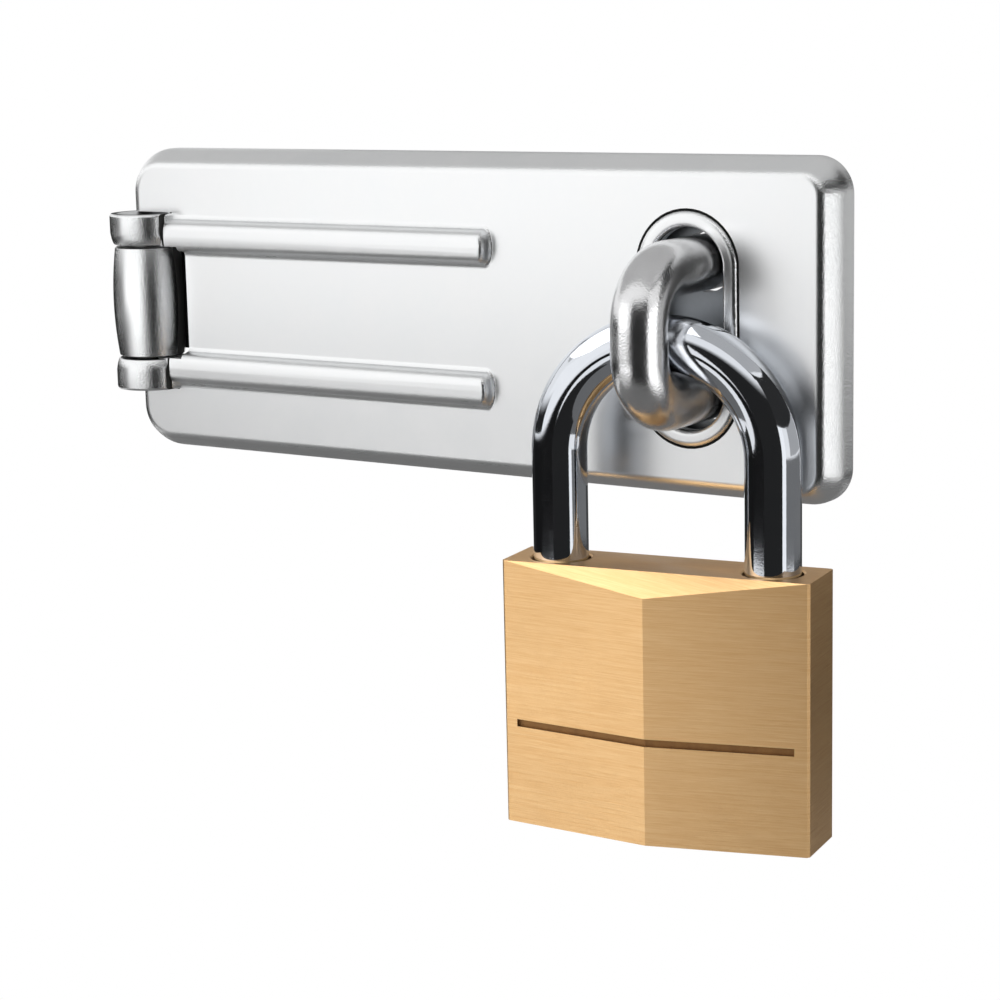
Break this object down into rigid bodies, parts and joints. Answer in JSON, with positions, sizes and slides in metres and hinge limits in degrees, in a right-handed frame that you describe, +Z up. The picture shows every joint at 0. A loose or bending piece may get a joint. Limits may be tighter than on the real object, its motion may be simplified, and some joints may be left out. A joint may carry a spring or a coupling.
{
  "type": "hasp and padlock",
  "caption": "Pressed steel hasp with raised ribs and a barrel hinge, closed over a round-rod staple, with a brass padlock and chrome shackle hanging through it.",
  "frame": {"origin": "centre of the staple plate's back face, on the wall", "axes": "+X along the hasp away from its hinge, +Y into the wall, +Z up"},
  "size_m": [0.1119, 0.0219, 0.0828],
  "materials": {
    "bright_zinc": "satin",
    "zinc_staple": "satin",
    "chrome": "polished",
    "brushed_brass": "brushed",
    "turned_brass": "satin",
    "plain_steel": "satin",
    "spring_steel": "satin"
  },
  "bodies": {
    "hasp": {"cover_plate": "bright_zinc", "staple_plate": "bright_zinc", "staple": "zinc_staple"},
    "leaf": {"hinge_leaf": "bright_zinc", "hinge_pin": "plain_steel"},
    "shackle": {"shackle": "chrome"},
    "lock_body": {"lock_body": "brushed_brass", "plug_ring": "plain_steel", "bolt_bore_plug": "turned_brass", "bolt_spring": "spring_steel", "shackle_spring": "spring_steel", "chamber_plug_1": "turned_brass", "chamber_plug_2": "turned_brass", "chamber_plug_3": "turned_brass", "chamber_plug_4": "turned_brass", "driver_spring_1": "spring_steel", "driver_spring_2": "spring_steel", "driver_spring_3": "spring_steel", "driver_spring_4": "spring_steel"},
    "plug": {"plug_core": "turned_brass", "cam": "plain_steel"},
    "toe_bolt": {"toe_bolt": "plain_steel"},
    "heel_bolt": {"heel_bolt": "plain_steel"},
    "key_pin_1": {"key_pin_1": "turned_brass"},
    "driver_pin_1": {"driver_pin_1": "plain_steel"},
    "key_pin_2": {"key_pin_2": "turned_brass"},
    "driver_pin_2": {"driver_pin_2": "plain_steel"},
    "key_pin_3": {"key_pin_3": "turned_brass"},
    "driver_pin_3": {"driver_pin_3": "plain_steel"},
    "key_pin_4": {"key_pin_4": "turned_brass"},
    "driver_pin_4": {"driver_pin_4": "plain_steel"}
  },
  "joints": [
    {"name": "leaf_swing", "type": "hinge", "parent": "hasp", "child": "leaf", "pos_m": [-0.0874, -0.0054, 0], "axis": [0, 0, 1], "range_deg": [0, 180]},
    {"name": "padlock_swing", "type": "hinge", "parent": "hasp", "child": "shackle", "pos_m": [-0.0009, -0.01128, -0.0008], "axis": [-0.9903, -0.1392, 0], "range_deg": [0, 90]},
    {"name": "body_drop", "type": "slide", "parent": "shackle", "child": "lock_body", "axis": [0, 0, -1], "range_m": [0, 0.0105], "deforming": ["shackle_spring"]},
    {"name": "plug_turn", "type": "hinge", "parent": "lock_body", "child": "plug", "pos_m": [-0.0009, -0.01128, -0.0508], "axis": [0, 0, 1], "range_deg": [-90, 0]},
    {"name": "toe_bolt_slide", "type": "slide", "parent": "lock_body", "child": "toe_bolt", "axis": [-0.9903, -0.1392, 0], "range_m": [0, 0.0019], "deforming": ["bolt_spring"]},
    {"name": "heel_bolt_slide", "type": "slide", "parent": "lock_body", "child": "heel_bolt", "axis": [0.9903, 0.1392, 0], "range_m": [0, 0.0019]},
    {"name": "driver_pin_1_slide", "type": "slide", "parent": "lock_body", "child": "driver_pin_1", "axis": [-0.9903, -0.1392, 0], "range_m": [0, 0.002], "stiffness_N_per_m": 50, "springref_m": -0.004, "deforming": ["driver_spring_1"]},
    {"name": "driver_pin_2_slide", "type": "slide", "parent": "lock_body", "child": "driver_pin_2", "axis": [-0.9903, -0.1392, 0], "range_m": [0, 0.002], "stiffness_N_per_m": 50, "springref_m": -0.004, "deforming": ["driver_spring_2"]},
    {"name": "driver_pin_3_slide", "type": "slide", "parent": "lock_body", "child": "driver_pin_3", "axis": [-0.9903, -0.1392, 0], "range_m": [0, 0.002], "stiffness_N_per_m": 50, "springref_m": -0.004, "deforming": ["driver_spring_3"]},
    {"name": "driver_pin_4_slide", "type": "slide", "parent": "lock_body", "child": "driver_pin_4", "axis": [-0.9903, -0.1392, 0], "range_m": [0, 0.002], "stiffness_N_per_m": 50, "springref_m": -0.004, "deforming": ["driver_spring_4"]},
    {"name": "key_pin_1_slide", "type": "slide", "parent": "plug", "child": "key_pin_1", "axis": [-0.1392, 0.9903, 0], "range_m": [0, 0.001]},
    {"name": "key_pin_2_slide", "type": "slide", "parent": "plug", "child": "key_pin_2", "axis": [-0.1392, 0.9903, 0], "range_m": [0, 0.001]},
    {"name": "key_pin_3_slide", "type": "slide", "parent": "plug", "child": "key_pin_3", "axis": [-0.1392, 0.9903, 0], "range_m": [0, 0.001]},
    {"name": "key_pin_4_slide", "type": "slide", "parent": "plug", "child": "key_pin_4", "axis": [-0.1392, 0.9903, 0], "range_m": [0, 0.001]}
  ],
  "couplings": [
    {"joint": "toe_bolt_slide", "follows": "plug_turn", "m_per_rad": -0.001209},
    {"joint": "heel_bolt_slide", "follows": "plug_turn", "m_per_rad": -0.001209}
  ]
}
